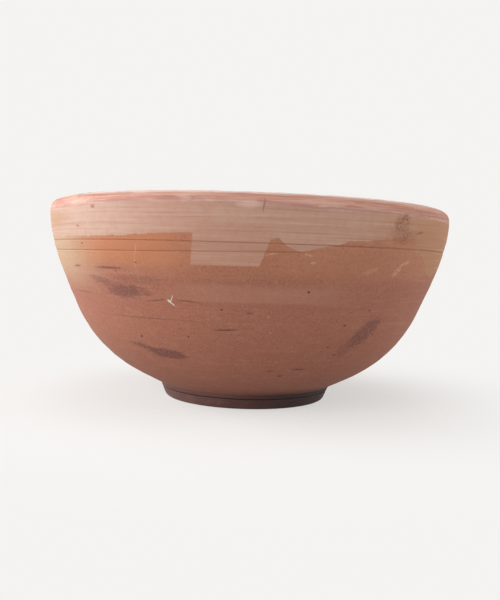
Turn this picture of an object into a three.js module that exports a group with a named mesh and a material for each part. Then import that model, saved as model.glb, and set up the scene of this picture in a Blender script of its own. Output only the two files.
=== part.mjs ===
// A serving bowl of fired clay, in three pieces: the thrown bowl with its turned base pad, the foot ring,
// and the film of slip that lutes the ring to the pad and shows outside as a fine dark seam.
// Lengths are in millimetres and angles in degrees. +Z is up. The origin is on the table, under the centre.
// Azimuth is measured about +Z from the front, which faces -Y, and grows towards +X.

import * as THREE from 'three';

// Overall sizes
const rimRadius = 150; // outside of the lip
const bowlHeight = 145; // table to the crest of the lip
const wallThickness = 8.5;
const floorThickness = 9; // at the seat of the foot ring

// The outside of the wall is three curves that run into each other: apron, belly and shoulder.
// Each joint of two curves has its radius, its height above the table and its slope from level.
const springRadius = 66; // where the wall springs from the base pad
const springSlope = 28.3;
const coveRadius = 88; // where the apron turns up into the belly
const coveHeight = 22.5;
const coveSlope = 29.7;
const bellyRadius = 130; // where the belly turns up into the shoulder
const bellyHeight = 70;
const bellySlope = 67;
const rimSlope = 90;

// Lip, a thickened roll that is squarer outside than inside
const lipOuterWidth = 9; // crest to the outside, across
const lipOuterDrop = 7.7; // crest to the top of the shoulder, down
const lipSquareness = 2.3; // 2 is an ellipse
const lipInnerWidth = 4.5; // crest to the inside, across
const lipInnerDrop = 6;
const lipFadeDrop = 26; // below the crest, where the roll has died away on the inside

// Two lines cut with a pointed tool while the bowl turned
const lineWidth = 1.2;
const lineDepth = 0.5;
const upperLineDrop = 30; // below the crest, level all the way round
const lowerLineGap = 6.7; // below the upper line, at its own start
const lowerLineClimb = 2.2; // the lower line runs as a slow helix
const climbStart = -40; // azimuths between which it climbs
const climbEnd = 22;
const lowerLineStart = -200; // azimuths at which it is cut in and where it runs out
const lowerLineEnd = 20;
const lowerLineRunOut = 14; // degrees over which it gets its full depth

// Base pad, foot ring and the slip between them. Pad and ring were turned together, to one taper.
const padHeight = 3;
const footTaper = 23; // of the outside, from upright
const footRingHeight = 7.4;
const footRingWidth = 12; // across its resting face, with its rounded edges
const footRingTaper = 12; // of the inside, from upright
const footRingRound = 2.2;
const seamThickness = 0.6;
const seamSetback = 0.5; // how far the slip lies behind the pad and the ring
const seamEdge = 0.4; // the eased edge of pad and ring along the seam
const beadWidth = 2; // slip squeezed out inside the ring
const beadDrop = 1.2;
const clearance = 0.3; // between the bead and the ring's round inside
const undersideHollow = 1.6; // how much the pad is turned out inside the ring

// How finely the forms are stepped
const turnSteps = 72;
const hollowSteps = 4;
const apronSteps = 3;
const bellySteps = 9;
const shoulderSteps = 6;
const upperShoulderSteps = 3;
const lipSteps = 6;
const fadeSteps = 4;
const floorSteps = 9;
const roundSteps = 3;
const finelySteps = 200;

// Heights and radii that follow from those sizes
const seatHeight = footRingHeight + seamThickness;
const springHeight = seatHeight + padHeight;
const shoulderTop = bowlHeight - lipOuterDrop;
const upperLineHeight = bowlHeight - upperLineDrop;
const lowerLineHeight = upperLineHeight - lowerLineGap;
const ringInnerRadius = footRadius(0) - footRingWidth;
const ringInnerTop = ringInnerRadius - footRingHeight * tangent(footRingTaper);
const beadOuterRadius = ringInnerTop - clearance;
const beadInnerRadius = beadOuterRadius - beadWidth;
const hollowRadius = beadInnerRadius - clearance;

function tangent(degrees) {
  return Math.tan(THREE.MathUtils.degToRad(degrees));
}

function point(radius, height) {
  return new THREE.Vector2(radius, height);
}

// The outside of pad and ring is one cone, which ends where the wall springs.
function footRadius(height) {
  return springRadius - (springHeight - height) * tangent(footTaper);
}

function direction(slope) {
  const angle = THREE.MathUtils.degToRad(slope);
  return point(Math.cos(angle), Math.sin(angle));
}

// A cubic curve that leaves one point at a slope and reaches the next at another. With handles of this
// length it is as near as can be to an arc when both slopes suit the chord.
function sweep(from, fromSlope, to, toSlope) {
  const quarterTurn = THREE.MathUtils.degToRad((toSlope - fromSlope) / 4);
  const handle = from.distanceTo(to) / (3 * Math.cos(quarterTurn) ** 2);
  return new THREE.CubicBezierCurve(
    from,
    from.clone().addScaledVector(direction(fromSlope), handle),
    to.clone().addScaledVector(direction(toSlope), -handle),
    to,
  );
}

// A corner rounded by a curve that leaves the two sides at one distance from it.
function rounded(before, corner, after, size) {
  const start = corner.clone().add(before.clone().sub(corner).setLength(size));
  const end = corner.clone().add(after.clone().sub(corner).setLength(size));
  return new THREE.QuadraticBezierCurve(start, corner, end).getPoints(roundSteps);
}

const spring = point(springRadius, springHeight);
const cove = point(coveRadius, coveHeight);
const belly = point(bellyRadius, bellyHeight);
const shoulderEnd = point(rimRadius, shoulderTop);
const apronCurve = sweep(spring, springSlope, cove, coveSlope);
const bellyCurve = sweep(cove, coveSlope, belly, bellySlope);
const shoulderCurve = sweep(belly, bellySlope, shoulderEnd, rimSlope);
const shoulderPoints = shoulderCurve.getPoints(finelySteps);

// The outside radius of the shoulder at a height, between its finely stepped points.
function shoulderRadius(height) {
  const next = Math.max(1, shoulderPoints.findIndex((each) => each.y >= height));
  const low = shoulderPoints[next - 1];
  const high = shoulderPoints[next];
  return THREE.MathUtils.mapLinear(height, low.y, high.y, low.x, high.x);
}

function shoulderBetween(lowest, highest, steps) {
  return Array.from({ length: steps }, (_, step) => {
    const height = THREE.MathUtils.mapLinear(step, 0, steps, lowest, highest);
    return point(shoulderRadius(height), height);
  });
}

// A cut line is a small V in the outside of the shoulder.
function cutLine(height, depth) {
  const lower = height - lineWidth / 2;
  const upper = height + lineWidth / 2;
  return [
    point(shoulderRadius(lower), lower),
    point(shoulderRadius(height) - depth, height),
    point(shoulderRadius(upper), upper),
  ];
}

function lowerLineAt(azimuth) {
  const past = THREE.MathUtils.euclideanModulo(azimuth - lowerLineStart, 360);
  const length = lowerLineEnd - lowerLineStart;
  const climbed = THREE.MathUtils.smoothstep(past + lowerLineStart, climbStart, climbEnd);
  const cutIn = THREE.MathUtils.smoothstep(past, 0, lowerLineRunOut);
  const ranOut = THREE.MathUtils.smoothstep(length - past, 0, lowerLineRunOut);
  const sunk = THREE.MathUtils.smoothstep(past, length, 360);
  return {
    height: lowerLineHeight + lowerLineClimb * (climbed - sunk),
    depth: lineDepth * cutIn * ranOut,
  };
}

// The inside of the wall keeps its thickness, square to the outside.
function insideOf(curve, share) {
  const along = curve.getTangent(share);
  const outside = curve.getPoint(share);
  return outside.add(point(-along.y, along.x).multiplyScalar(wallThickness));
}

function insideBetween(curve, highest, lowest, steps) {
  return Array.from({ length: steps }, (_, step) =>
    insideOf(curve, THREE.MathUtils.mapLinear(step, 0, steps, highest, lowest)));
}

function lipOutline() {
  const centre = point(rimRadius - lipOuterWidth, shoulderTop);
  const outer = Array.from({ length: lipSteps }, (_, step) => {
    const angle = (Math.PI / 2) * (step / lipSteps);
    return point(
      centre.x + lipOuterWidth * Math.cos(angle) ** (2 / lipSquareness),
      centre.y + lipOuterDrop * Math.sin(angle) ** (2 / lipSquareness),
    );
  });
  const inner = Array.from({ length: lipSteps + 1 }, (_, step) => {
    const angle = (Math.PI / 2) * (step / lipSteps);
    return point(
      centre.x - lipInnerWidth * Math.sin(angle),
      bowlHeight - lipInnerDrop * (1 - Math.cos(angle)),
    );
  });
  return [...outer, ...inner];
}

function insideOutline(lipEnd) {
  const fadeHeight = bowlHeight - lipFadeDrop;
  const fadeShare = shoulderPoints.findIndex((each) => each.y >= fadeHeight) / finelySteps;
  const fadeEnd = insideOf(shoulderCurve, fadeShare);
  const along = shoulderCurve.getTangent(fadeShare);
  const fadeSlope = THREE.MathUtils.radToDeg(Math.atan2(along.y, along.x));
  const fade = sweep(fadeEnd, fadeSlope, lipEnd, rimSlope).getPoints(fadeSteps).reverse();
  const coveInside = insideOf(bellyCurve, 0);
  const floor = point(0, seatHeight + floorThickness);
  const floorCurve = sweep(floor, 0, coveInside, coveSlope).getPoints(floorSteps).reverse();
  return [
    ...fade.slice(1, -1),
    ...insideBetween(shoulderCurve, fadeShare, 0, shoulderSteps),
    ...insideBetween(bellyCurve, 1, 0, bellySteps),
    ...floorCurve,
  ];
}

function undersideOutline() {
  return Array.from({ length: hollowSteps + 1 }, (_, step) => {
    const share = step / hollowSteps;
    return point(hollowRadius * share, seatHeight + undersideHollow * (1 - share ** 2));
  });
}

// The whole section of the bowl, from the axis underneath to the axis on the floor, at one azimuth.
function bowlOutline(azimuth) {
  const lower = lowerLineAt(azimuth);
  const lowerEnd = lower.height - lineWidth / 2;
  const betweenLines = (lower.height + upperLineHeight) / 2;
  const upperEnd = upperLineHeight + lineWidth / 2;
  const lip = lipOutline();
  return [
    ...undersideOutline(),
    point(footRadius(seatHeight) - seamEdge, seatHeight),
    point(footRadius(seatHeight + seamEdge), seatHeight + seamEdge),
    ...apronCurve.getPoints(apronSteps).slice(0, -1),
    ...bellyCurve.getPoints(bellySteps).slice(0, -1),
    ...shoulderBetween(bellyHeight, lowerEnd, shoulderSteps),
    ...cutLine(lower.height, lower.depth),
    point(shoulderRadius(betweenLines), betweenLines),
    ...cutLine(upperLineHeight, lineDepth),
    ...shoulderBetween(upperEnd, shoulderTop, upperShoulderSteps).slice(1),
    ...lip,
    ...insideOutline(lip.at(-1)),
  ];
}

// A round body whose section may change slowly with azimuth: it is turned from the section at the front,
// and each column of its vertices is then set to the section at its own azimuth.
function turned(outlineAt) {
  const geometry = new THREE.LatheGeometry(outlineAt(0), turnSteps);
  const position = geometry.getAttribute('position');
  for (let step = 0; step <= turnSteps; step += 1) {
    const azimuth = (360 * (step % turnSteps)) / turnSteps;
    const angle = THREE.MathUtils.degToRad(azimuth);
    const section = outlineAt(azimuth);
    section.forEach(({ x: radius, y: height }, row) => {
      const vertex = step * section.length + row;
      position.setXYZ(vertex, radius * Math.sin(angle), height, radius * Math.cos(angle));
    });
  }
  return geometry.rotateX(Math.PI / 2);
}

function footRingOutline() {
  const outerTop = point(footRadius(footRingHeight - seamEdge), footRingHeight - seamEdge);
  const outerCorner = point(footRadius(0), 0);
  const innerCorner = point(ringInnerRadius, 0);
  const innerTop = point(ringInnerTop, footRingHeight);
  const closed = [
    innerTop,
    ...rounded(innerTop, innerCorner, outerCorner, footRingRound),
    ...rounded(innerCorner, outerCorner, outerTop, footRingRound),
    outerTop,
    point(footRadius(footRingHeight) - seamEdge, footRingHeight),
  ];
  return [...closed, innerTop];
}

// The slip fills the joint and hangs inside the ring as a small bead.
function slipOutline() {
  const edge = footRadius(footRingHeight) - seamEdge - seamSetback;
  const beadBottom = footRingHeight - beadDrop;
  const beadMiddle = (beadInnerRadius + beadOuterRadius) / 2;
  const beadCorner = point(beadOuterRadius, beadBottom);
  const beadFace = point(beadOuterRadius, footRingHeight);
  const bead = rounded(point(beadMiddle, beadBottom), beadCorner, beadFace, beadDrop / 2);
  const start = point(beadInnerRadius, seatHeight);
  return [
    start,
    point(beadInnerRadius, footRingHeight),
    ...bead,
    beadFace,
    point(edge, footRingHeight),
    point(edge, seatHeight),
    start,
  ];
}

function piece(name, geometry, color, roughness) {
  const material = new THREE.MeshStandardMaterial({ color, roughness, metalness: 0 });
  const mesh = new THREE.Mesh(geometry, material);
  mesh.name = name;
  return mesh;
}

const bowl = new THREE.Group();
bowl.name = 'serving_bowl';
bowl.add(piece('bowl_body', turned(bowlOutline), 0xc08c72, 0.78));
bowl.add(piece('luting_slip', turned(slipOutline), 0x4c342d, 0.9));
bowl.add(piece('foot_ring', turned(footRingOutline), 0x9b6c5a, 0.8));

export default bowl;
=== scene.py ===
import math

import bpy
import numpy as np
from mathutils import Matrix, Vector


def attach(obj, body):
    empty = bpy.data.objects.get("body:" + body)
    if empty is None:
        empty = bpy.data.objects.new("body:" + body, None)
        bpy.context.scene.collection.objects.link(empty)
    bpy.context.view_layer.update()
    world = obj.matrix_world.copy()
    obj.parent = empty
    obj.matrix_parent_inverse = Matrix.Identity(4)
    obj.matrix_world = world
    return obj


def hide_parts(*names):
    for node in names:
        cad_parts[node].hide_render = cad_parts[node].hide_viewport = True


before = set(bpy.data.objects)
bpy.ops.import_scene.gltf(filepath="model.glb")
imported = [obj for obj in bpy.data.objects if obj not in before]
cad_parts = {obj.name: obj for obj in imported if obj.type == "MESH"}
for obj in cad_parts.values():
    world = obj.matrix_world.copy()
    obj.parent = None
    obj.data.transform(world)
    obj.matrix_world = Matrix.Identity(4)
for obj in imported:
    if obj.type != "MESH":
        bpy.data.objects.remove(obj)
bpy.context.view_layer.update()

# Sizes in millimetres and slopes in degrees, as in the bowl's CAD source. Azimuth is measured about
# +Z from the front, which faces -Y, and grows towards +X.
MM = 0.001
RIM_RADIUS = 150
BOWL_HEIGHT = 145
WALL_THICKNESS = 8.5
FLOOR_THICKNESS = 9
SPRING_RADIUS = 66
SPRING_SLOPE = 28.3
COVE_RADIUS = 88
COVE_HEIGHT = 22.5
COVE_SLOPE = 29.7
BELLY_RADIUS = 130
BELLY_HEIGHT = 70
BELLY_SLOPE = 67
RIM_SLOPE = 90
LIP_OUTER_WIDTH = 9
LIP_OUTER_DROP = 7.7
LIP_SQUARENESS = 2.3
LIP_INNER_WIDTH = 4.5
LIP_INNER_DROP = 6
LIP_FADE_DROP = 26
LINE_WIDTH = 1.2
LINE_DEPTH = 0.5
UPPER_LINE_DROP = 30
LOWER_LINE_GAP = 6.7
LOWER_LINE_CLIMB = 2.2
CLIMB_AZIMUTHS = (-40, 22)
LOWER_LINE_AZIMUTHS = (-200, 20)
LINE_RUN_OUT = 14
PAD_HEIGHT = 3
FOOT_TAPER = 23
FOOT_RING_HEIGHT = 7.4
FOOT_RING_WIDTH = 12
FOOT_RING_TAPER = 12
FOOT_RING_ROUND = 2.2
SEAM_THICKNESS = 0.6
SEAM_SETBACK = 0.5
SEAM_EDGE = 0.4
BEAD_WIDTH = 2
BEAD_DROP = 1.2
CLEARANCE = 0.3
UNDERSIDE_HOLLOW = 1.6

SEAT_HEIGHT = FOOT_RING_HEIGHT + SEAM_THICKNESS
SPRING_HEIGHT = SEAT_HEIGHT + PAD_HEIGHT
SHOULDER_TOP = BOWL_HEIGHT - LIP_OUTER_DROP
UPPER_LINE = BOWL_HEIGHT - UPPER_LINE_DROP
LOWER_LINE = UPPER_LINE - LOWER_LINE_GAP

# What hands, wheel and time did to the turned forms. Depths are in millimetres. Waves have their turns
# round the bowl and their radians per millimetre along the section. Clay is lost where waves rise from
# the first level to the second.
WARP_DEPTH = 0.22
WARP_WAVES = (2, 0.01)
WARP_HEIGHTS = (30, 130)
FINE_RING_DEPTH = 0.03
FINE_RING_WAVES = (1.2, 0.9)
BROAD_RING_DEPTH = 0.06
BROAD_RING_WAVES = (1, 0.25)
RINGS_START = 6
INSIDE_RINGS_MORE = 1.8
LIP_LOSS_DEPTH = 0.55
LIP_LOSS_WAVES = (22, 0.35)
LIP_LOSS_LEVELS = (1.1, 2.4)
LIP_GRAIN_DEPTH = 0.05
LIP_GRAIN_WAVES = (90, 1.2)
TURNING_DEPTH = 0.05
TURNING_WAVES = (3, 2.0)
FOOT_LOSS_DEPTH = 0.25
FOOT_LOSS_WAVES = (40, 1.0)
FOOT_LOSS_LEVELS = (1.2, 2.6)
SEED = 11

# Columns of vertices round each piece, how much closer they stand at the front, and rows of vertices
COLUMNS = 384
CLOSER_IN_FRONT = 0.35
UNDERSIDE_ROWS = 13
LIP_ROWS_OUTSIDE = 18
LIP_ROWS_INSIDE = 12

# The camera, in metres and radians. It stands in front of the bowl and is rolled a little, because the
# photograph shows the bowl tipped to the right.
CAMERA_DISTANCE = 0.560
CAMERA_HEIGHT = 0.1038
CAMERA_PITCH = 0.0528
CAMERA_YAW = 0.0037
CAMERA_ROLL = 0.0323
CAMERA_LENS = 42.84
SENSOR = 36


def srgb(red, green, blue):
    """A colour as a paint chart gives it, 0 to 255, made linear."""
    shares = [c / 255 for c in (red, green, blue)]
    return tuple(s / 12.92 if s <= 0.04045 else ((s + 0.055) / 1.055) ** 2.4 for s in shares)


CLAY = srgb(158, 105, 79)
CLAY_RED = srgb(137, 85, 69)
CLAY_PALE = srgb(164, 120, 100)
CLAY_DEEP = srgb(112, 68, 56)
# Pale clay painted as a highlight on the far left side.
CLAY_LEFT_HIGHLIGHT = srgb(166, 139, 113)
CLAY_ORANGE = srgb(168, 107, 70)
COAT = srgb(172, 137, 120)
COAT_WARM = srgb(163, 124, 105)
COAT_GREY = srgb(176, 149, 134)
COAT_GOLD = srgb(152, 109, 74)
LIP_PINK = srgb(186, 136, 119)
LIP_LILAC = srgb(160, 124, 117)
LIP_CREAM = srgb(198, 168, 152)
# Near-white painted highlight along the lip's crest.
LIP_CREST_HIGHLIGHT = srgb(232, 208, 197)
LIP_RED = srgb(142, 84, 66)
LINE_BROWN = srgb(108, 52, 36)
SMUDGE = srgb(84, 52, 50)
SMUDGE_DARK = srgb(62, 36, 32)
STROKE_PALE = srgb(192, 150, 118)
BLOT_BROWN = srgb(112, 58, 42)
CHIP_WHITE = srgb(196, 184, 176)
# The foot's darker clay: partly its own colour, partly painted shade of its place under the belly.
FOOT_CLAY_AND_SHADE = srgb(97, 65, 59)
# Painted shade for the foot's right side and the band above it; also dark random stains on foot and slip.
FOOT_SHADE_AND_STAIN = srgb(46, 31, 31)
SLIP_DARK = srgb(46, 29, 27)
INSIDE_CLAY = srgb(158, 110, 88)
INSIDE_PALE = srgb(178, 144, 124)
FLOOR_BOUNCE = srgb(218, 216, 214)
BACKGROUND = srgb(244, 243, 241)


# Surfaces, worked out in millimetres

def smooth(x, low, high):
    """0 below low, 1 above high, and 3t^2 - 2t^3 between them."""
    t = np.clip((x - low) / (high - low), 0, 1)
    return t * t * (3 - 2 * t)


def tangent(degrees):
    return math.tan(math.radians(degrees))


def foot_radius(height):
    """The cone that pad and ring were turned to: it narrows downwards from the wall's spring."""
    return SPRING_RADIUS - (SPRING_HEIGHT - height) * tangent(FOOT_TAPER)


def slope_vector(slope):
    return np.array([math.cos(math.radians(slope)), math.sin(math.radians(slope))])


def sweep(start, start_slope, end, end_slope, steps):
    """A cubic from start to end whose handles lie at the two slopes and are a third of the chord long,
    over the squared cosine of a quarter of the turn. Returns radius and height at even steps."""
    start, end = np.array(start, float), np.array(end, float)
    turn = math.radians(end_slope - start_slope)
    handle = np.linalg.norm(end - start) / (3 * math.cos(turn / 4) ** 2)
    first = start + handle * slope_vector(start_slope)
    second = end - handle * slope_vector(end_slope)
    t = np.linspace(0, 1, steps + 1)[:, None]
    return (1 - t) ** 3 * start + 3 * (1 - t) ** 2 * t * first + 3 * (1 - t) * t**2 * second + t**3 * end


def inside_of(curve):
    """The curve moved square to itself by the wall's thickness, towards the inside."""
    along = np.gradient(curve, axis=0)
    along /= np.linalg.norm(along, axis=1)[:, None]
    return curve + WALL_THICKNESS * np.stack([-along[:, 1], along[:, 0]], 1)


def resample(curve, heights):
    """The curve's points at the given heights."""
    return np.stack([np.interp(heights, curve[:, 1], curve[:, 0]), heights], 1)


SPRING = (SPRING_RADIUS, SPRING_HEIGHT)
COVE = (COVE_RADIUS, COVE_HEIGHT)
BELLY = (BELLY_RADIUS, BELLY_HEIGHT)
SHOULDER_CURVE = sweep(BELLY, BELLY_SLOPE, (RIM_RADIUS, SHOULDER_TOP), RIM_SLOPE, 400)
RING_INNER_RADIUS = foot_radius(0) - FOOT_RING_WIDTH
RING_INNER_TOP = RING_INNER_RADIUS - FOOT_RING_HEIGHT * tangent(FOOT_RING_TAPER)
BEAD_OUTER_RADIUS = RING_INNER_TOP - CLEARANCE
BEAD_INNER_RADIUS = BEAD_OUTER_RADIUS - BEAD_WIDTH
HOLLOW_RADIUS = BEAD_INNER_RADIUS - CLEARANCE

# Rows stand closer between these heights, for the two cut lines.
LINES_LOW = LOWER_LINE - 2
LINES_HIGH = UPPER_LINE + 1.5


def lip_section(rows_outside, rows_inside):
    """The roll of the lip: a superellipse quarter outside its crest and an ellipse quarter inside it."""
    out = np.linspace(0, np.pi / 2, rows_outside + 1)
    power = 2 / LIP_SQUARENESS
    outer = np.stack([RIM_RADIUS - LIP_OUTER_WIDTH * (1 - np.cos(out) ** power),
                      SHOULDER_TOP + LIP_OUTER_DROP * np.sin(out) ** power], 1)
    back = np.linspace(0, np.pi / 2, rows_inside + 1)[1:]
    inner = np.stack([RIM_RADIUS - LIP_OUTER_WIDTH - LIP_INNER_WIDTH * np.sin(back),
                      BOWL_HEIGHT - LIP_INNER_DROP * (1 - np.cos(back))], 1)
    return np.concatenate([outer, inner])


def bowl_section():
    """The bowl's section from the axis underneath, out over foot, wall and lip, and back to the axis."""
    share = np.linspace(0, 1, UNDERSIDE_ROWS)
    under = np.stack([HOLLOW_RADIUS * share, SEAT_HEIGHT + UNDERSIDE_HOLLOW * (1 - share**2)], 1)
    seat = np.array([[foot_radius(SEAT_HEIGHT) - SEAM_EDGE, SEAT_HEIGHT]])
    pad_heights = np.linspace(SEAT_HEIGHT + SEAM_EDGE, SPRING_HEIGHT, 6)[:-1]
    pad = np.stack([foot_radius(pad_heights), pad_heights], 1)
    apron = sweep(SPRING, SPRING_SLOPE, COVE, COVE_SLOPE, 14)[:-1]
    belly = sweep(COVE, COVE_SLOPE, BELLY, BELLY_SLOPE, 48)[:-1]
    heights = np.concatenate([
        np.linspace(BELLY_HEIGHT, LINES_LOW, 28, endpoint=False),
        np.linspace(LINES_LOW, LINES_HIGH, 36, endpoint=False),
        np.linspace(LINES_HIGH, SHOULDER_TOP, 18, endpoint=False)])
    shoulder = resample(SHOULDER_CURVE, heights)
    lip = lip_section(LIP_ROWS_OUTSIDE, LIP_ROWS_INSIDE)
    fade_height = BOWL_HEIGHT - LIP_FADE_DROP
    inside_shoulder = inside_of(SHOULDER_CURVE)
    last = np.searchsorted(SHOULDER_CURVE[:, 1], fade_height)
    fade_slope = math.degrees(math.atan2(*(SHOULDER_CURVE[last + 1] - SHOULDER_CURVE[last - 1])[::-1]))
    fade = sweep(inside_shoulder[last], fade_slope, lip[-1], RIM_SLOPE, 8)[::-1][1:-1]
    inside_rows = np.linspace(last, 0, 15).astype(int)[:-1]
    inside_belly = inside_of(sweep(COVE, COVE_SLOPE, BELLY, BELLY_SLOPE, 160))[::-10]
    floor = sweep((0, SEAT_HEIGHT + FLOOR_THICKNESS), 0, inside_belly[-1], COVE_SLOPE, 24)[::-1]
    return np.concatenate([under, seat, pad, apron, belly, shoulder, lip, fade,
                           inside_shoulder[inside_rows], inside_belly[:-1], floor])


def rounded(before, corner, after, size, steps):
    """A corner rounded by a quadratic curve that leaves its two sides at one distance from it."""
    before, corner, after = (np.array(p, float) for p in (before, corner, after))
    start = corner + size * (before - corner) / np.linalg.norm(before - corner)
    end = corner + size * (after - corner) / np.linalg.norm(after - corner)
    t = np.linspace(0, 1, steps + 1)[:, None]
    return (1 - t) ** 2 * start + 2 * (1 - t) * t * corner + t**2 * end


def straight(start, end, steps):
    """Points from start up to, but without, end."""
    t = np.linspace(0, 1, steps, endpoint=False)[:, None]
    return (1 - t) * np.array(start, float) + t * np.array(end, float)


def ring_section():
    """The foot ring's closed section, from its inner top, down, out and up to its outer top."""
    inner_top = (RING_INNER_TOP, FOOT_RING_HEIGHT)
    inner_corner = (RING_INNER_RADIUS, 0)
    outer_corner = (foot_radius(0), 0)
    outer_top = (foot_radius(FOOT_RING_HEIGHT - SEAM_EDGE), FOOT_RING_HEIGHT - SEAM_EDGE)
    shoulder = (foot_radius(FOOT_RING_HEIGHT) - SEAM_EDGE, FOOT_RING_HEIGHT)
    inner = rounded(inner_top, inner_corner, outer_corner, FOOT_RING_ROUND, 8)
    outer = rounded(inner_corner, outer_corner, outer_top, FOOT_RING_ROUND, 8)
    return np.concatenate([straight(inner_top, inner[0], 8), inner, straight(inner[-1], outer[0], 8)[1:],
                           outer, straight(outer[-1], outer_top, 12)[1:], [outer_top],
                           straight(shoulder, inner_top, 4)])


def seam_section():
    """The slip's closed section: a film between pad and ring with a bead hanging inside the ring."""
    edge = foot_radius(FOOT_RING_HEIGHT) - SEAM_EDGE - SEAM_SETBACK
    bottom = FOOT_RING_HEIGHT - BEAD_DROP
    middle = BEAD_INNER_RADIUS + BEAD_WIDTH / 2
    bead = rounded((middle, bottom), (BEAD_OUTER_RADIUS, bottom), (BEAD_OUTER_RADIUS, FOOT_RING_HEIGHT),
                   BEAD_DROP / 2, 4)
    return np.concatenate([[(BEAD_INNER_RADIUS, SEAT_HEIGHT), (BEAD_INNER_RADIUS, FOOT_RING_HEIGHT)], bead,
                           [(BEAD_OUTER_RADIUS, FOOT_RING_HEIGHT), (edge, FOOT_RING_HEIGHT),
                            (edge, SEAT_HEIGHT)]])


def section_normals(section, closed):
    """Unit vectors square to the section, to the right of its direction, which is outwards."""
    if closed:
        along = np.roll(section, -1, 0) - np.roll(section, 1, 0)
    else:
        along = np.gradient(section, axis=0)
    along /= np.linalg.norm(along, axis=1)[:, None]
    return np.stack([along[:, 1], -along[:, 0]], 1)


def waves(seed, azimuth, along, around, across, count=24):
    """Soft irregular waves with a standard deviation of about 1: a sum of cosines whose number of turns
    round the bowl is a random whole number near around, and whose number of radians per millimetre
    along the section is random and near across."""
    rng = np.random.default_rng(seed)
    total = np.zeros(np.broadcast(azimuth, along).shape)
    for turns, rate, phase in zip(rng.normal(0, around, count).round(), rng.normal(0, across, count),
                                  rng.uniform(0, 2 * np.pi, count)):
        total += np.cos(turns * azimuth + rate * along + phase)
    return total * math.sqrt(2 / count)


def columns_round(count, closer):
    """Azimuths in radians, once round and closer together at the front by the given share."""
    turn = np.linspace(-np.pi, np.pi, count, endpoint=False)
    return turn - closer * np.sin(turn)


def lower_line(azimuth):
    """Height and depth of the lower line, in degrees of azimuth: it climbs in one soft step and its depth
    runs in and out at its ends."""
    start, end = LOWER_LINE_AZIMUTHS
    past = np.mod(azimuth - start, 360)
    climbed = smooth(past + start, *CLIMB_AZIMUTHS)
    sunk = smooth(past, end - start, 360)
    depth = LINE_DEPTH * smooth(past, 0, LINE_RUN_OUT) * smooth(end - start - past, 0, LINE_RUN_OUT)
    return LOWER_LINE + LOWER_LINE_CLIMB * (climbed - sunk), depth


def cut(height, line_height, depth):
    """A V-shaped line, as a depth at each height."""
    return depth * np.clip(1 - np.abs(height - line_height) / (LINE_WIDTH / 2), 0, 1)


def turned_mesh(name, section, azimuths, offset=None, closed=False):
    """Turns a section about +Z into a mesh. A column of vertices stands at each azimuth, and offset, in
    millimetres along the section's normal, may differ at every vertex. An open section starts and ends
    on the axis, where its columns share one vertex. Each vertex keeps its place along the section."""
    normals = section_normals(section, closed)
    lengths = np.linalg.norm(np.diff(section, axis=0), axis=1)
    along = np.concatenate([[0], np.cumsum(lengths)])
    if offset is None:
        shift = np.zeros((len(azimuths), len(section)))
    else:
        shift = offset(azimuths[:, None], along, section)
    radius = section[:, 0] + shift * normals[:, 0]
    height = section[:, 1] + shift * normals[:, 1]
    if not closed:
        radius[:, [0, -1]] = 0
        height[:, [0, -1]] = height[:, [0, -1]].mean(0)
    points = np.stack([radius * np.sin(azimuths)[:, None], -radius * np.cos(azimuths)[:, None], height], 2)
    columns, rows = radius.shape
    this = np.arange(columns)[:, None]
    after = (this + 1) % columns
    row = np.arange(rows if closed else rows - 1)[None, :]
    above = (row + 1) % rows
    index = np.arange(columns * rows).reshape(columns, rows)
    if not closed:
        index[:, 0] = index[0, 0]
        index[:, -1] = index[0, -1]
    quads = np.stack([index[this, row], index[after, row], index[after, above], index[this, above]], 2)
    faces = quads.reshape(-1, 4)
    used, compact = np.unique(faces, return_inverse=True)
    faces = compact.reshape(faces.shape)
    polygons = [list(dict.fromkeys(face)) for face in faces.tolist()]
    mesh = bpy.data.meshes.new(name)
    mesh.from_pydata((points.reshape(-1, 3)[used] * MM).tolist(), [], polygons)
    mesh.attributes.new("along", "FLOAT", "POINT").data.foreach_set(
        "value", np.tile(along, columns)[used].astype(np.float32))
    mesh.polygons.foreach_set("use_smooth", [True] * len(mesh.polygons))
    mesh.update()
    thing = bpy.data.objects.new(name, mesh)
    bpy.context.scene.collection.objects.link(thing)
    return thing


def bowl_offset(azimuth, along, section):
    """What the potter's hands and time did to the turned form, in millimetres along the normal: a slight
    warp, throwing rings, the two cut lines, and small losses along the lip."""
    degrees = np.degrees(azimuth)
    height = section[:, 1]
    crest = int(np.argmax(height))
    outside = (np.arange(len(section)) <= crest) & (height > SPRING_HEIGHT)
    wall = outside * smooth(height, SPRING_HEIGHT, SPRING_HEIGHT + RINGS_START)
    inside = (np.arange(len(section)) > crest + LIP_ROWS_INSIDE + 2) * 1.0
    warp = WARP_DEPTH * waves(SEED, azimuth, along, *WARP_WAVES) * smooth(height, *WARP_HEIGHTS)
    rings = (FINE_RING_DEPTH * waves(SEED + 1, azimuth, along, *FINE_RING_WAVES)
             + BROAD_RING_DEPTH * waves(SEED + 2, azimuth, along, *BROAD_RING_WAVES))
    line_height, line_depth = lower_line(degrees)
    lines = cut(height, line_height, line_depth) + cut(height, UPPER_LINE, LINE_DEPTH)
    lip = smooth(height, SHOULDER_TOP - 2, SHOULDER_TOP + 3)
    lost = LIP_LOSS_DEPTH * smooth(waves(SEED + 3, azimuth, along, *LIP_LOSS_WAVES), *LIP_LOSS_LEVELS)
    rough = LIP_GRAIN_DEPTH * waves(SEED + 4, azimuth, along, *LIP_GRAIN_WAVES)
    return (warp + rings * (wall * (1 - lip) + INSIDE_RINGS_MORE * inside) - lines * outside
            - lip * (lost * outside + rough))


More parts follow.
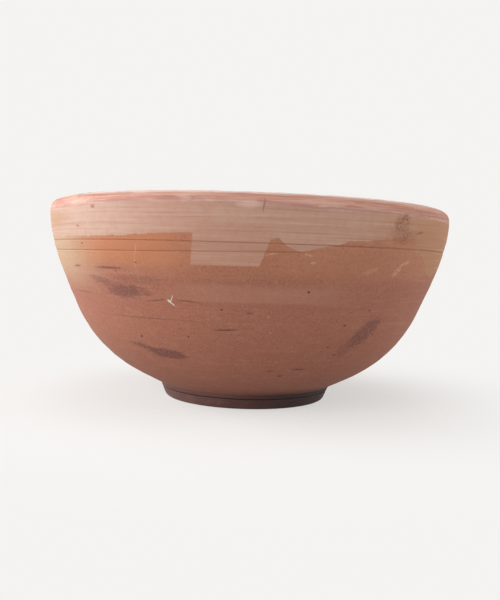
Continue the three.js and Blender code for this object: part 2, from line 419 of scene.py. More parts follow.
def ring_offset(azimuth, along, section):
    """Turning marks and small losses on the foot ring's outside, none on its faces."""
    radius, height = section.T
    outside = smooth(radius, foot_radius(0) - 2, foot_radius(0) + 1) * (height < FOOT_RING_HEIGHT - 0.2)
    turned = TURNING_DEPTH * waves(SEED + 5, azimuth, along, *TURNING_WAVES)
    lost = FOOT_LOSS_DEPTH * smooth(waves(SEED + 6, azimuth, along, *FOOT_LOSS_WAVES), *FOOT_LOSS_LEVELS)
    return outside * (turned - lost)


# Materials

def outside_radius(height):
    """The outside radius of the wall at a height."""
    return float(np.interp(height, OUTSIDE[:, 1], OUTSIDE[:, 0]))


class Value:
    """One number that may change over a surface: a socket whose operators add Math nodes."""

    def __init__(self, paint, socket):
        self.paint = paint
        self.socket = socket

    def math(self, operation, *others, first=None):
        inputs = dict(enumerate((self if first is None else first, *others)))
        return self.paint.node("ShaderNodeMath", {"operation": operation}, inputs)[0]

    def __add__(self, other):
        return self.math("ADD", other)

    __radd__ = __add__

    def __sub__(self, other):
        return self.math("SUBTRACT", other)

    def __rsub__(self, other):
        return self.math("SUBTRACT", self, first=other)

    def __mul__(self, other):
        return self.math("MULTIPLY", other)

    __rmul__ = __mul__

    def __truediv__(self, other):
        return self.math("DIVIDE", other)

    def __neg__(self):
        return self.math("MULTIPLY", -1)

    def __abs__(self):
        return self.math("ABSOLUTE")

    def or_more(self, other):
        return self.math("MAXIMUM", other)


class Paint:
    """The nodes of one material, with the coordinates that its patterns are laid out on, in millimetres
    and degrees."""

    def __init__(self, name):
        self.material = bpy.data.materials.new(name)
        self.material.use_nodes = True
        self.tree = self.material.node_tree
        self.shader = self.tree.nodes["Principled BSDF"]
        self.here = self.node("ShaderNodeTexCoord", {}, {})["Object"]
        self.place = self.vector("SCALE", self.here, scale=1 / MM)
        split = self.node("ShaderNodeSeparateXYZ", {}, {0: self.place})
        self.height = split["Z"]
        self.azimuth = split["X"].math("ARCTAN2", -split["Y"]) * math.degrees(1)
        self.along = self.node("ShaderNodeAttribute", {"attribute_name": "along"}, {})["Fac"]
        flat = self.vector("MULTIPLY", self.here, (1, 1, 0))
        self.direction = self.vector("NORMALIZE", flat)
        self.radius = self.node("ShaderNodeVectorMath", {"operation": "LENGTH"}, {0: flat})["Value"] / MM
        turns = {"X": self.azimuth * math.radians(1), "Y": self.height}
        self.unrolled = self.node("ShaderNodeCombineXYZ", {}, turns)["Vector"]

    def node(self, kind, settings, inputs):
        """Adds a node, makes its settings and links or sets its inputs. Returns its outputs by name or
        number, each as a Value."""
        made = self.tree.nodes.new(kind)
        for key, value in settings.items():
            if key == "stops":
                ramp = made.color_ramp
                while len(ramp.elements) < len(value):
                    ramp.elements.new(1)
                for element, (position, shade) in zip(ramp.elements, value):
                    element.position = position
                    element.color = (shade, shade, shade, 1)
            else:
                setattr(made, key, value)
        for key, value in inputs.items():
            if isinstance(value, Value):
                self.tree.links.new(value.socket, made.inputs[key])
            elif isinstance(value, tuple) and len(made.inputs[key].default_value) == 4:
                made.inputs[key].default_value = (*value, 1)
            else:
                made.inputs[key].default_value = value
        outputs = {}
        for number, socket in enumerate(made.outputs):
            outputs.setdefault(socket.name, Value(self, socket))
            outputs[number] = Value(self, socket)
        return outputs

    def vector(self, operation, first, second=None, scale=None):
        inputs = {0: first}
        if second is not None:
            inputs[1] = second
        if scale is not None:
            inputs["Scale"] = scale
        return self.node("ShaderNodeVectorMath", {"operation": operation}, inputs)["Vector"]

    def mix(self, first, second, factor):
        """Colours mixed by a factor from 0 to 1."""
        settings = {"data_type": "RGBA", "blend_type": "MIX", "clamp_factor": True}
        return self.node("ShaderNodeMix", settings, {0: factor, 6: first, 7: second})[2]

    def between(self, value, low, high, start=0, end=1):
        """A soft step: start where value is under low, end where it is over high."""
        inputs = {"Value": value, "From Min": low, "From Max": high, "To Min": start, "To Max": end}
        return self.node("ShaderNodeMapRange", {"interpolation_type": "SMOOTHSTEP"}, inputs)["Result"]

    def noise(self, size, detail, roughness, seed, vector=None):
        """Fractal noise, about 0.5 on average, whose blots are about size millimetres across. Each seed
        reads it in another place."""
        moved = self.vector("ADD", vector or self.place, (seed * 37, seed * 91, seed * 53))
        inputs = {"Vector": moved, "Scale": 1 / size, "Detail": detail, "Roughness": roughness}
        return self.node("ShaderNodeTexNoise", {}, inputs)["Fac"]

    def ringed(self, around, across):
        """A place for streaks that run round the bowl: round it they change as fast as round a circle of
        that radius, and along its section by that many millimetres per millimetre."""
        level = self.vector("SCALE", self.direction, scale=around)
        upright = self.node("ShaderNodeCombineXYZ", {}, {"Z": self.along * across})["Vector"]
        return self.vector("ADD", level, upright)

    def ramp(self, value, stops, low, high):
        """A number that follows value through straight lines between stops of (value, number), for
        numbers between low and high."""
        first, last = stops[0][0], stops[-1][0]
        inputs = {"Value": value, "From Min": first, "From Max": last}
        share = self.node("ShaderNodeMapRange", {}, inputs)["Result"]
        shades = [((at - first) / (last - first), (number - low) / (high - low)) for at, number in stops]
        ramp = self.node("ShaderNodeValToRGB", {"stops": shades}, {"Fac": share})["Color"]
        grey = self.node("ShaderNodeSeparateColor", {}, {0: ramp})[0]
        return grey * (high - low) + low

    def spot(self, azimuth, height, half_width, half_height, lean, soft, ragged=None):
        """An oval mark at an azimuth and a height, with its half sizes in millimetres. Lean turns it, in
        degrees, so that its right end rises. Ragged is a Value that is added to its distance."""
        radius = outside_radius(height)
        flat = self.vector("MULTIPLY", self.unrolled, (radius, 1, 0))
        inputs = {"Vector": flat, "Location": (math.radians(azimuth) * radius, height, 0),
                  "Rotation": (0, 0, math.radians(lean)), "Scale": (half_width, half_height, 1)}
        centred = self.node("ShaderNodeMapping", {"vector_type": "TEXTURE"}, inputs)["Vector"]
        distance = self.node("ShaderNodeVectorMath", {"operation": "LENGTH"}, {0: centred})["Value"]
        if ragged is not None:
            distance = distance + ragged
        return self.between(distance, 1 - soft, 1 + soft, 1, 0)

    def stroke(self, start, end, half_width, soft, ragged):
        """A long oval mark between two places, each an azimuth and a height."""
        middle = [(a + b) / 2 for a, b in zip(start, end)]
        level = math.radians(end[0] - start[0]) * outside_radius(middle[1])
        rise = end[1] - start[1]
        half_length = max(math.hypot(level, rise) / 2, half_width)
        lean = math.degrees(math.atan2(rise, level))
        return self.spot(*middle, half_length, half_width, lean, soft, ragged)

    def finish(self, colour, roughness, bump_height):
        """Links what changes over the surface. Bump height is in millimetres."""
        inputs = {"Height": bump_height, "Strength": 1, "Distance": MM}
        normal = self.node("ShaderNodeBump", {}, inputs)["Normal"]
        for name, value in (("Base Color", colour), ("Roughness", roughness), ("Normal", normal)):
            self.tree.links.new(value.socket, self.shader.inputs[name])
        self.shader.inputs["Specular IOR Level"].default_value = CLAY_SHEEN
        return self.material


SECTION = bowl_section()
CREST_ROW = int(np.argmax(SECTION[:, 1]))
OUTSIDE = SECTION[UNDERSIDE_ROWS:CREST_ROW + 1]
ALONG = np.concatenate([[0], np.cumsum(np.linalg.norm(np.diff(SECTION, axis=0), axis=1))])
CREST_ALONG = float(ALONG[CREST_ROW])
OUTSIDE_ALONG = (CREST_ALONG + 3, CREST_ALONG - 1)
INSIDE_ALONG = (CREST_ALONG + 3, CREST_ALONG + 12)

# Lower edge of the pale coat as azimuth and height, at the front and on round the back
FRONT_LIMIT = 70
COAT_EDGE_FRONT = ((-70, 117.3), (-50, 117.1), (-36, 117.5), (-23.5, 118.9), (-14, 120), (3.5, 119.5),
                   (5.1, 117), (6.6, 118.4), (8.9, 113.4), (11.8, 110.7), (15.3, 112.2), (18.9, 114.9),
                   (22.6, 116.4), (23.8, 118.2), (28, 118.2), (32.4, 119.8), (39, 121.8), (45.2, 121.5),
                   (45.9, 120), (46.3, 114), (49.5, 112), (52.6, 108.5), (54.5, 105.5), (57, 100), (63, 97),
                   (70, 104))
COAT_EDGE_BACK = ((70, 104), (84, 112), (100, 116), (118, 109), (140, 113), (160, 119), (180, 115),
                  (205, 110), (225, 118), (250, 113), (270, 118), (290, 117.3))
COAT_EDGE_RANGE = (90, 130)

# The neat pale block that the coat reaches down to: where its sides stand low and high, and its foot
BLOCK_LEFT = ((-13.8, 101.4), (-12.9, 118.5))
BLOCK_RIGHT = ((2.7, 102.7), (4.8, 117))
BLOCK_FOOT = 101.4
BLOCK_TOP = (124, 122)

# Lower edge of the red lip, and the band of heights that it stays in
LIP_EDGE = ((-70, 135.1), (-52, 135.2), (-42, 136.8), (-30, 137), (-14, 138), (-4, 137.1), (6, 136.8),
            (14, 135.9), (24, 135.7), (36, 136), (54, 135.5), (70, 135.1))
LIP_EDGE_RANGE = (130, 142)

# Where colours change, as azimuth, height or radius. A pair runs from where a change starts to where it
# is full. Masks on azimuth fade with the front, because azimuth jumps at the back.
FRONT_FADE = (130, 80)
CLAY_REDDENS = (104, 88)
CLAY_DEEPENS = (40, 12)
ORANGE_AZIMUTH = -34
ORANGE_SPREAD = (24, 10)
ORANGE_HEIGHTS = (96, 106)
# Painted highlight of pale clay on the far left side.
LEFT_HIGHLIGHT_AZIMUTHS = (-36, -60)
LEFT_HIGHLIGHT_HEIGHTS = (76, 104)
PALE_BAND_FOOT = (78, 80.5)
PALE_BAND_TOP = (92, 87)
PALE_BAND_LEFT = (-26, -8)
PALE_BAND_RIGHT = (36, 14)
COAT_GREYS = (-12, -42)
COAT_GILDS = (20, 50)
LIP_WEARS = (15, 45)
# Painted shade on the right of pad, ring and the band above the foot, round this azimuth.
RIGHT_SHADE_AZIMUTH = 50
RIGHT_SHADE_SPREAD = (70, 15)
RIGHT_SHADE_RADII = (30, 58)
RING_RIGHT_SHADE_SPREAD = (75, 12)

# Depths of the finish in millimetres
GRAIN_DEPTH = 0.14
BRUSH_DEPTH = 0.10
STREAK_DEPTH = 0.06
COAT_THICKNESS = 0.07
DRAG_DEPTH = 0.35
PIT_DEPTH = 0.35
SCORE_DEPTH = 0.12
CHIP_DEPTH = 0.2
FOOT_GRAIN_DEPTH = 0.2
CLAY_ROUGHNESS = 0.78
FOOT_ROUGHNESS = 0.8
SLIP_ROUGHNESS = 0.85
CLAY_SHEEN = 0.3

# Marks on the outside. Each runs from an azimuth and a height to an azimuth and a height, and has its
# half width in millimetres and its strength.
SMUDGES = {
    "left core": (-40.5, 83.6, -28.6, 83.2, 4.2, 0.85),
    "left tail": (-47.5, 91.5, -37, 86.5, 2.6, 0.55),
    "left drag": (-38, 91.5, -21, 90.6, 2.6, 0.35),
    "left speck": (-29.5, 84.5, -26, 82.5, 2.4, 0.5),
    "low tail": (-40, 48.6, -27, 44.6, 1.5, 0.9),
    "low core": (-33.5, 44.4, -20, 42.4, 3.0, 1.0),
    "low foot": (-31, 41.4, -19, 41.8, 1.6, 0.8),
    "right smear": (33.4, 51, 41.6, 69, 6.8, 0.75),
    "right trail": (30.6, 45, 35, 54, 5.5, 0.35),
    "right dark a": (35, 53, 37, 58, 2.4, 0.7),
    "right dark b": (36.6, 61, 38.8, 66, 2.2, 0.6),
}
BLOTS = {
    "upper": (38.4, 134.4, 42, 134, 2.2, 1.0),
    "middle": (36, 128, 42, 130, 5.0, 0.8),
    "lower": (37.4, 121.6, 44.4, 123.6, 3.4, 0.75),
    "dash": (45.3, 125.2, 48, 126.2, 0.8, 1.0),
}
SCORES = {
    "far left dash": (-55.1, 97.8, -51.1, 98.1, 0.7, 0.6),
    "left dash": (-42.6, 97.7, -33.5, 97.5, 0.7, 0.7),
    "left hairline": (-61.8, 81, -49.6, 80.2, 0.4, 0.55),
    "chip hairline left": (-27.8, 77.6, -21.7, 79.3, 0.4, 0.6),
    "chip hairline right": (-18.9, 79.5, -12.6, 78.6, 0.4, 0.6),
    "long scratch": (-44.9, 66.9, -14.5, 66.7, 0.35, 0.4),
    "middle dash": (-0.3, 73, 1.7, 73.1, 0.5, 0.6),
    "belly dash": (-8.7, 61.6, -2.5, 62.2, 0.5, 0.8),
    "low dash": (16.5, 35.5, 21.3, 35.3, 0.6, 0.7),
    "low speck": (12.4, 30.3, 14.1, 30.3, 0.8, 0.7),
    "lower dash": (7.8, 34.3, 9.9, 34.3, 0.6, 0.6),
}
PALE_STROKES = {
    "light speck a": (5.5, 71.1, 5.9, 71.1, 0.6, 0.6),
    "light speck b": (6.5, 61, 6.9, 61, 0.6, 0.6),
    "light speck c": (-43.2, 125.8, -42.7, 125.8, 0.7, 0.8),
    "hairline upper": (-27.2, 115, -28.7, 105.3, 0.35, 0.5),
    "hairline lower": (-28.7, 105.3, -28.9, 98, 0.35, 0.45),
    "brush a": (12.8, 109.4, 15, 108.3, 0.7, 0.6),
    "brush b": (14.8, 104.4, 16.1, 104.7, 0.7, 0.75),
    "brush c": (4, 108.3, 6.2, 109.4, 0.5, 0.5),
    "scrape a": (40.2, 97.8, 43, 106, 1.8, 0.55),
    "scrape b": (42, 105, 45.8, 107.4, 0.9, 0.6),
    "scrape c": (30.2, 98.9, 34, 102.2, 1.6, 0.25),
}
CHIP = {
    "arm": (-21.4, 79.4, -19.5, 75.9, 0.45, 0.9),
    "stem": (-20.6, 77.8, -19.6, 82.2, 0.35, 0.75),
    "heart": (-21.3, 79.2, -20.3, 77.8, 0.75, 0.9),
}
RED_MARKS = {
    "tick": (3.2, 140, 2.8, 133.2, 0.5, 0.7),
    "fleck a": (-41.4, 135.6, -39.9, 135.3, 1.2, 0.7),
    "fleck b": (-48.4, 123.8, -46.9, 123.7, 0.7, 0.7),
}

# Each pit has its azimuth, its height and its half width in millimetres.
PITS = {
    "a": (-6.6, 74.7, 0.7), "b": (-16.9, 56.1, 0.7), "c": (-33.6, 54, 0.9), "d": (28.7, 65.9, 0.8),
    "e": (25.8, 51.4, 0.7), "f": (29.7, 45.7, 0.7), "g": (15.5, 86.9, 0.9), "h": (35.9, 75.4, 0.7),
    "i": (-47, 112.6, 0.8), "j": (-28.6, 101.4, 0.6), "k": (-36, 95.6, 0.6),
}


class Patterns:
    """The noises and wide masks that clay, coat, lip and marks share."""

    def __init__(self, paint):
        self.outside = paint.between(paint.along, *OUTSIDE_ALONG)
        self.inside = paint.between(paint.along, *INSIDE_ALONG)
        self.front = paint.between(abs(paint.azimuth), *FRONT_FADE)
        self.grain = paint.noise(1.3, 3, 0.75, 3)
        self.streak = paint.noise(4, 3, 0.55, 4, paint.ringed(9, 1.6))
        self.wobble = paint.noise(5, 4, 0.6, 5)
        self.fine_wobble = paint.noise(1.4, 3, 0.6, 6)
        self.brush = paint.noise(1.3, 3, 0.6, 7, paint.ringed(2.6, 1.0))
        self.brush_broad = paint.noise(7, 3, 0.55, 8, paint.ringed(8, 1.0))
        self.drag = paint.noise(2.0, 4, 0.65, 9, paint.ringed(9, 1.5))


def clay_colour(paint, patterns):
    """The fired clay: mottled, streaked round by the wheel, redder low down, and a painted highlight at the
    left.
    """
    broad = paint.noise(45, 2, 0.5, 1)
    cloud = paint.noise(7, 4, 0.6, 2)
    colour = paint.mix(CLAY, CLAY_RED, paint.between(paint.height, *CLAY_REDDENS) * 0.75)
    colour = paint.mix(colour, CLAY_RED, paint.between(broad, 0.4, 0.7) * 0.35)
    colour = paint.mix(colour, CLAY_PALE, paint.between(cloud, 0.45, 0.8) * 0.22)
    colour = paint.mix(colour, CLAY_PALE, paint.between(patterns.streak, 0.5, 0.75) * 0.22)
    colour = paint.mix(colour, CLAY_DEEP, paint.between(paint.height, *CLAY_DEEPENS) * 0.1)
    colour = paint.mix(colour, CLAY_DEEP, paint.between(patterns.grain, 0.52, 0.72) * 0.6)
    colour = paint.mix(colour, CLAY_PALE, paint.between(patterns.grain, 0.46, 0.28) * 0.5)
    orange = (paint.between(abs(paint.azimuth - ORANGE_AZIMUTH), *ORANGE_SPREAD)
              * paint.between(paint.height, *ORANGE_HEIGHTS))
    colour = paint.mix(colour, CLAY_ORANGE, orange * (0.3 + patterns.wobble * 0.5))
    # Painted highlight: pale clay on the far left side, where the light falls.
    left_highlight = (paint.between(paint.azimuth, *LEFT_HIGHLIGHT_AZIMUTHS) * paint.between(paint.height, *LEFT_HIGHLIGHT_HEIGHTS)
             * patterns.front)
    colour = paint.mix(colour, CLAY_LEFT_HIGHLIGHT, left_highlight * (0.45 + patterns.wobble * 0.8))
    pale_band = (paint.between(paint.height, *PALE_BAND_FOOT) * paint.between(paint.height, *PALE_BAND_TOP)
                 * paint.between(paint.azimuth, *PALE_BAND_LEFT)
                 * paint.between(paint.azimuth, *PALE_BAND_RIGHT))
    return paint.mix(colour, CLAY_PALE, pale_band * 0.35)


def side_of_block(paint, low, high):
    """The azimuth of a straight side of the block at each height, through two places."""
    return (paint.height - low[1]) * ((high[0] - low[0]) / (high[1] - low[1])) + low[0]


def block_mask(paint, patterns):
    """The neat pale block, with crisp sides and a softer foot."""
    uneven = (patterns.fine_wobble - 0.5) * 0.5
    past_left = paint.azimuth - side_of_block(paint, *BLOCK_LEFT)
    before_right = side_of_block(paint, *BLOCK_RIGHT) - paint.azimuth
    return (paint.between(past_left + uneven * 0.3, -0.12, 0.12)
            * paint.between(before_right + uneven, -0.15, 0.15)
            * paint.between(paint.height - BLOCK_FOOT + uneven * 2, -0.6, 0.9)
            * paint.between(paint.height, *BLOCK_TOP))


def coat_mask(paint, patterns):
    """Where the pale coat lies above its wandering lower edge, which is more ragged at the sides."""
    round_back = (paint.azimuth + 360).math("MODULO", 360)
    front = paint.between(abs(paint.azimuth), FRONT_LIMIT + 0.1, FRONT_LIMIT - 0.1)
    edge_front = paint.ramp(paint.azimuth, COAT_EDGE_FRONT, *COAT_EDGE_RANGE)
    edge_back = paint.ramp(round_back, COAT_EDGE_BACK, *COAT_EDGE_RANGE)
    edge = edge_front * front + edge_back * (1 - front)
    ragged = 0.5 + paint.between(abs(paint.azimuth), 5, 48) * 1.6
    uneven = (patterns.wobble - 0.5) * 1.6 + (patterns.fine_wobble - 0.5) * 1.2
    return paint.between(paint.height - edge + uneven * ragged, -0.3, 0.35)


def coat_colour(paint, patterns, block):
    """The pale coat: brushed on while the bowl turned, greyer at the left and golden at the right."""
    colour = paint.mix(COAT, COAT_WARM, paint.between(patterns.brush_broad, 0.35, 0.65) * 0.7)
    greys = paint.between(paint.azimuth, *COAT_GREYS) * patterns.front
    colour = paint.mix(colour, COAT_GREY, greys * 0.8)
    gilds = paint.between(paint.azimuth, *COAT_GILDS) * patterns.front
    colour = paint.mix(colour, COAT_GOLD, gilds * 0.85)
    gold_left = paint.spot(-64, 129, 26, 7, 0, 0.8)
    colour = paint.mix(colour, COAT_GOLD, gold_left * 0.6)
    colour = paint.mix(colour, CLAY_RED, paint.between(patterns.brush, 0.5, 0.7) * 0.32)
    colour = paint.mix(colour, LIP_CREAM, paint.between(patterns.brush, 0.46, 0.3) * 0.22)
    return paint.mix(colour, CLAY, block * 0.18)


def lip_over(paint, patterns, colour):
    """The lip's red wash over a colour: dragged streaks, lilac at its lower edge, and a painted highlight
    along the crest. Returns the new colour and the lip's mask."""
    edge = paint.ramp(paint.azimuth, LIP_EDGE, *LIP_EDGE_RANGE)
    above = paint.height - edge + (patterns.wobble - 0.5) * 2.6 + (patterns.fine_wobble - 0.5) * 1.4
    lip = paint.between(above, -0.9, 1.1)
    patch = paint.noise(9, 3, 0.6, 10, paint.ringed(50, 1.2))
    worn_right = paint.between(paint.azimuth, *LIP_WEARS) * patterns.front
    wash = paint.mix(LIP_PINK, LIP_LILAC, paint.between(above, 3.4, 0.4) * 0.85)
    wash = paint.mix(wash, LIP_RED, paint.between(patterns.drag, 0.46, 0.62) * 0.5)
    wash = paint.mix(wash, LIP_CREAM, paint.between(patterns.drag, 0.48, 0.34) * 0.6)
    wash = paint.mix(wash, LIP_CREAM, paint.between(patch, 0.56, 0.7) * (0.5 - worn_right * 0.3))
    band = paint.between(above, 0.8, 2.4) * paint.between(above, 7, 4.4) * worn_right
    wash = paint.mix(wash, LIP_RED, band * 0.55)
    # Painted highlight: near-white along the crest, broken by the drag streaks.
    crest = paint.between(paint.height, BOWL_HEIGHT - 2.2, BOWL_HEIGHT - 0.5)
    wash = paint.mix(wash, LIP_CREST_HIGHLIGHT, crest * (0.45 + paint.between(patterns.drag, 0.6, 0.45) * 0.5))
    colour = paint.mix(colour, wash, lip * 0.92)
    buff = paint.spot(-0.3, 137.2, 6.5, 2.2, 0, 0.5, (patterns.wobble - 0.5) * 1.2)
    return paint.mix(colour, LIP_CREAM, buff * 0.5 * patterns.outside), lip


def inside_colour(paint, patterns):
    """The inside: the same clay with faint rings of the coat."""
    colour = paint.mix(INSIDE_CLAY, INSIDE_PALE, paint.between(patterns.brush_broad, 0.35, 0.7) * 0.5)
    colour = paint.mix(colour, INSIDE_PALE, paint.between(patterns.streak, 0.45, 0.7) * 0.25)
    colour = paint.mix(colour, CLAY_RED, paint.between(patterns.grain, 0.52, 0.75) * 0.4)
    return paint.mix(colour, COAT, paint.between(patterns.brush, 0.5, 0.7) * 0.2)


def foot_over(paint, colour):
    """The dark foot over a colour: base pad and underside, with painted shade at the right and just above
    them.
    """
    foot = paint.between(paint.height, SPRING_HEIGHT + 1.2, SPRING_HEIGHT - 0.6)
    right_shade = (paint.between(abs(paint.azimuth - RIGHT_SHADE_AZIMUTH), *RIGHT_SHADE_SPREAD)
            * paint.between(paint.radius, *RIGHT_SHADE_RADII))
    # The pad's dark colour carries painted shade.
    colour = paint.mix(colour, FOOT_CLAY_AND_SHADE, foot)
    # Painted shade on the right side of pad and underside.
    colour = paint.mix(colour, FOOT_SHADE_AND_STAIN, foot * right_shade * 0.8)
    # A band of painted shade just above the foot, stronger at the right.
    shade = paint.between(paint.height, SPRING_HEIGHT + 7, SPRING_HEIGHT)
    return paint.mix(colour, FOOT_SHADE_AND_STAIN, shade * (right_shade * 0.45 + 0.12))


def all_of(paint, marks, soft, ragged):
    """The strongest of several strokes at each place."""
    strongest = None
    for *ends, half_width, strength in marks.values():
        mask = paint.stroke(ends[:2], ends[2:], half_width, soft, ragged) * strength
        strongest = mask if strongest is None else strongest.or_more(mask)
    return strongest


def all_pits(paint):
    """The small dark pits."""
    pits = None
    for azimuth, height, size in PITS.values():
        pit = paint.spot(azimuth, height, size, size * 0.7, 0, 0.4)
        pits = pit if pits is None else pits.or_more(pit)
    return pits


def marks_over(paint, patterns, colour):
    """Smudges, blots, scores, red flecks, pale strokes, pits and the white chip over a colour. Returns the
    new colour and how deep the marks are cut."""
    outside, fine = patterns.outside, patterns.fine_wobble - 0.5
    hairs = paint.noise(1.3, 4, 0.65, 11, paint.ringed(30, 1.0))
    dusty = 0.6 + paint.between(patterns.grain, 0.4, 0.55) * 0.4
    smudges = all_of(paint, SMUDGES, 0.32, (hairs - 0.5) * 2.2) * dusty
    colour = paint.mix(colour, SMUDGE, smudges * outside * 0.75)
    speckle = 0.3 + paint.between(paint.noise(1.0, 3, 0.7, 15), 0.48, 0.56) * 0.7
    blots = all_of(paint, BLOTS, 0.6, (patterns.wobble - 0.5) * 2.4) * speckle
    colour = paint.mix(colour, BLOT_BROWN, blots * outside * 0.9)
    scores = all_of(paint, SCORES, 0.5, fine * 1.6)
    colour = paint.mix(colour, SMUDGE_DARK, scores * outside * 0.8)
    red = all_of(paint, RED_MARKS, 0.4, fine * 1.5)
    colour = paint.mix(colour, LIP_RED, red * outside)
    pale = all_of(paint, PALE_STROKES, 0.45, fine * 1.8)
    thin = 0.35 + paint.between(patterns.grain, 0.56, 0.44) * 0.55
    colour = paint.mix(colour, STROKE_PALE, pale * outside * thin)
    pits = all_pits(paint) * outside
    colour = paint.mix(colour, SMUDGE_DARK, pits * 0.8)
    chip = all_of(paint, CHIP, 0.4, fine * 1.6) * outside
    colour = paint.mix(colour, CHIP_WHITE, chip * 0.95)
    return colour, pits * PIT_DEPTH + scores * SCORE_DEPTH + chip * CHIP_DEPTH


def lines_over(paint, patterns, colour):
    """Dirt in the two cut lines over a colour. The lower one climbs and runs out as its groove does."""
    climbed = paint.between(paint.azimuth, *CLIMB_AZIMUTHS) * LOWER_LINE_CLIMB + LOWER_LINE
    end = LOWER_LINE_AZIMUTHS[1]
    run_out = paint.between(paint.azimuth, end - LINE_RUN_OUT, end, 1, 0)
    upper = paint.between(abs(paint.height - UPPER_LINE), 0.12, 0.5, 1, 0)
    lower = paint.between(abs(paint.height - climbed), 0.1, 0.45, 1, 0) * run_out * 0.8
    wear = 0.55 + paint.between(patterns.wobble, 0.35, 0.6) * 0.45
    return paint.mix(colour, LINE_BROWN, upper.or_more(lower) * wear * patterns.outside * 0.5)


def bowl_finish():
    """The bowl's surface: clay, coat, lip, inside, foot, marks and cut lines, laid over each other."""
    paint = Paint("fired_clay")
    patterns = Patterns(paint)
    block = block_mask(paint, patterns)
    coat = coat_mask(paint, patterns).or_more(block) * patterns.outside
    cover = 0.78 + paint.between(patterns.wobble, 0.35, 0.6) * 0.17
    colour = paint.mix(clay_colour(paint, patterns), coat_colour(paint, patterns, block), coat * cover)
    colour, lip = lip_over(paint, patterns, colour)
    colour = paint.mix(colour, inside_colour(paint, patterns), patterns.inside)
    colour = foot_over(paint, colour)
    colour, marks_depth = marks_over(paint, patterns, colour)
    colour = lines_over(paint, patterns, colour)
    roughness = CLAY_ROUGHNESS + (patterns.grain - 0.5) * 0.2 - lip * 0.12
    bump = ((patterns.grain - 0.5) * GRAIN_DEPTH + (patterns.brush - 0.5) * BRUSH_DEPTH * coat
            + (patterns.streak - 0.5) * STREAK_DEPTH + coat * COAT_THICKNESS
            + (patterns.drag - 0.5) * lip * DRAG_DEPTH - marks_depth)
    return paint.finish(colour, roughness, bump)


def foot_finish():
    """The foot ring: the same clay, darker with painted shade, more at the right, and with dark blotches.
    """
    paint = Paint("foot_clay")
    cloud = paint.noise(8, 4, 0.6, 12)
    grain = paint.noise(1.0, 3, 0.65, 13)
    right_shade = paint.between(abs(paint.azimuth - RIGHT_SHADE_AZIMUTH), *RING_RIGHT_SHADE_SPREAD)
    colour = paint.mix(FOOT_CLAY_AND_SHADE, FOOT_SHADE_AND_STAIN, paint.between(cloud, 0.35, 0.65) * 0.3)
    # Painted shade on the ring's right side.
    colour = paint.mix(colour, FOOT_SHADE_AND_STAIN, right_shade * 0.9)
    colour = paint.mix(colour, FOOT_SHADE_AND_STAIN, paint.between(grain, 0.5, 0.75) * 0.4)
    return paint.finish(colour, FOOT_ROUGHNESS + (grain - 0.5) * 0.2, (grain - 0.5) * FOOT_GRAIN_DEPTH)


def slip_finish():
    """The slip in the seam: dark and rough."""
    paint = Paint("seam_slip")
    grain = paint.noise(0.8, 3, 0.65, 14)
    colour = paint.mix(SLIP_DARK, FOOT_SHADE_AND_STAIN, paint.between(grain, 0.5, 0.8) * 0.6)
    return paint.finish(colour, SLIP_ROUGHNESS + (grain - 0.5) * 0.2, (grain - 0.5) * FOOT_GRAIN_DEPTH)


# Pieces

def place_piece(piece, material, node):
    piece.data.materials.append(material)
    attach(piece, "root")
    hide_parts(node)


column_azimuths = columns_round(COLUMNS, CLOSER_IN_FRONT)
bowl = turned_mesh("bowl", SECTION, column_azimuths, bowl_offset)
place_piece(bowl, bowl_finish(), "bowl_body")
ring = turned_mesh("foot", ring_section(), column_azimuths, ring_offset, closed=True)
place_piece(ring, foot_finish(), "foot_ring")
seam = turned_mesh("seam", seam_section(), column_azimuths, closed=True)
place_piece(seam, slip_finish(), "luting_slip")


# Stage

# Sizes in metres. The floor glows in the background's colour, by the first share within the first
# radius and wholly past the second, so that only the bowl's own shadow shows on it.
FLOOR_HALF = 6.0
GLOW_RADII = (0.08, 0.30)
GLOW_SHARES = (0.55, 1.0)
WORLD_STRENGTH = 0.25

# Each lamp has its place, the height on the bowl's axis that it looks at, its size and its watts.
LAMPS = {
    "key": ((-0.9, -1.0, 0.5), 0.08, 0.8, 12),
    "left": ((-1.2, 0.1, 0.4), 0.08, 0.8, 16),
    "right": ((1.2, -0.1, 0.4), 0.08, 0.8, 10),
    "front": ((0, -1.4, 0.25), 0.08, 0.8, 2.5),
    "above": ((0, 0.1, 1.2), 0.1, 0.7, 3),
}


def link(tree, source, target):
    tree.links.new(source, target)


def seen_directly(tree):
    """1 for rays from the camera and for what mirrors and glass show of the stage, else 0."""
    path = tree.nodes.new("ShaderNodeLightPath")
    both = None
    for name in ("Is Camera Ray", "Is Glossy Ray", "Is Transmission Ray"):
        if both is None:
            both = path.outputs[name]
            continue
        larger = tree.nodes.new("ShaderNodeMath")
        larger.operation = "MAXIMUM"
        link(tree, both, larger.inputs[0])
        link(tree, path.outputs[name], larger.inputs[1])
        both = larger.outputs[0]
    return both


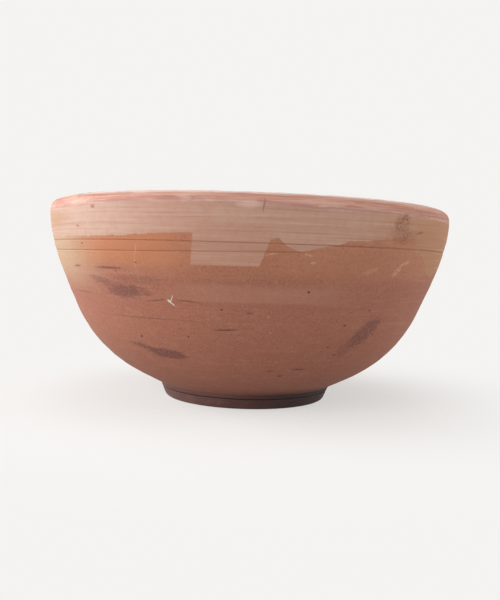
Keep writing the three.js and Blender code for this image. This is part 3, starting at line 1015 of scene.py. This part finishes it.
def floor_finish():
    """Pale paper that shows the background's colour, keeps the shadow, and is darker to bounced light."""
    material = bpy.data.materials.new("floor_paper")
    material.use_nodes = True
    tree = material.node_tree
    tree.nodes.clear()
    output = tree.nodes.new("ShaderNodeOutputMaterial")
    bounce = tree.nodes.new("ShaderNodeBsdfDiffuse")
    bounce.inputs["Color"].default_value = (*FLOOR_BOUNCE, 1)
    paper = tree.nodes.new("ShaderNodeBsdfDiffuse")
    paper.inputs["Color"].default_value = (*BACKGROUND, 1)
    glow = tree.nodes.new("ShaderNodeEmission")
    glow.inputs["Color"].default_value = (*BACKGROUND, 1)
    place = tree.nodes.new("ShaderNodeTexCoord")
    length = tree.nodes.new("ShaderNodeVectorMath")
    length.operation = "LENGTH"
    link(tree, place.outputs["Object"], length.inputs[0])
    fade = tree.nodes.new("ShaderNodeMapRange")
    fade.interpolation_type = "SMOOTHSTEP"
    ends = (*GLOW_RADII, *GLOW_SHARES)
    for key, value in zip(("From Min", "From Max", "To Min", "To Max"), ends):
        fade.inputs[key].default_value = value
    link(tree, length.outputs["Value"], fade.inputs["Value"])
    look = tree.nodes.new("ShaderNodeMixShader")
    link(tree, fade.outputs["Result"], look.inputs[0])
    link(tree, paper.outputs[0], look.inputs[1])
    link(tree, glow.outputs[0], look.inputs[2])
    both = tree.nodes.new("ShaderNodeMixShader")
    link(tree, seen_directly(tree), both.inputs[0])
    link(tree, bounce.outputs[0], both.inputs[1])
    link(tree, look.outputs[0], both.inputs[2])
    link(tree, both.outputs[0], output.inputs["Surface"])
    return material


def plain_floor():
    mesh = bpy.data.meshes.new("floor")
    half = FLOOR_HALF
    corners = [(-half, -half, 0), (half, -half, 0), (half, half, 0), (-half, half, 0)]
    mesh.from_pydata(corners, [], [(0, 1, 2, 3)])
    mesh.materials.append(floor_finish())
    floor = bpy.data.objects.new("floor", mesh)
    bpy.context.scene.collection.objects.link(floor)


def studio_world(strength):
    """Even soft light, with the background's colour where it is seen."""
    world = bpy.data.worlds.new("studio")
    bpy.context.scene.world = world
    world.use_nodes = True
    tree = world.node_tree
    soft = tree.nodes["Background"]
    soft.inputs["Color"].default_value = (1, 1, 1, 1)
    soft.inputs["Strength"].default_value = strength
    wall = tree.nodes.new("ShaderNodeBackground")
    wall.inputs["Color"].default_value = (*BACKGROUND, 1)
    both = tree.nodes.new("ShaderNodeMixShader")
    link(tree, seen_directly(tree), both.inputs[0])
    link(tree, soft.outputs[0], both.inputs[1])
    link(tree, wall.outputs[0], both.inputs[2])
    link(tree, both.outputs[0], tree.nodes["World Output"].inputs["Surface"])


def area_light(name, place, aim_height, size, power):
    """A square soft light that looks at a point on the bowl's axis."""
    data = bpy.data.lights.new(name, "AREA")
    data.size = size
    data.energy = power
    lamp = bpy.data.objects.new(name, data)
    bpy.context.scene.collection.objects.link(lamp)
    lamp.location = place
    sight = Vector((0, 0, aim_height)) - Vector(place)
    lamp.rotation_euler = sight.to_track_quat("-Z", "Y").to_euler()


def place_camera():
    """A camera at the photograph's place: yawed, pitched, and rolled about its own line of sight."""
    data = bpy.data.cameras.new("camera")
    data.lens = CAMERA_LENS
    data.sensor_width = SENSOR
    camera = bpy.data.objects.new("camera", data)
    bpy.context.scene.collection.objects.link(camera)
    yaw = Matrix.Rotation(-CAMERA_YAW, 4, "Z")
    pitch = Matrix.Rotation(math.pi / 2 - CAMERA_PITCH, 4, "X")
    roll = Matrix.Rotation(CAMERA_ROLL, 4, "Z")
    camera.matrix_world = Matrix.Translation((0, -CAMERA_DISTANCE, CAMERA_HEIGHT)) @ yaw @ pitch @ roll
    bpy.context.scene.camera = camera


plain_floor()
studio_world(WORLD_STRENGTH)
for lamp_name, lamp_settings in LAMPS.items():
    area_light(lamp_name, *lamp_settings)
place_camera()
bpy.context.scene.view_settings.view_transform = "Standard"
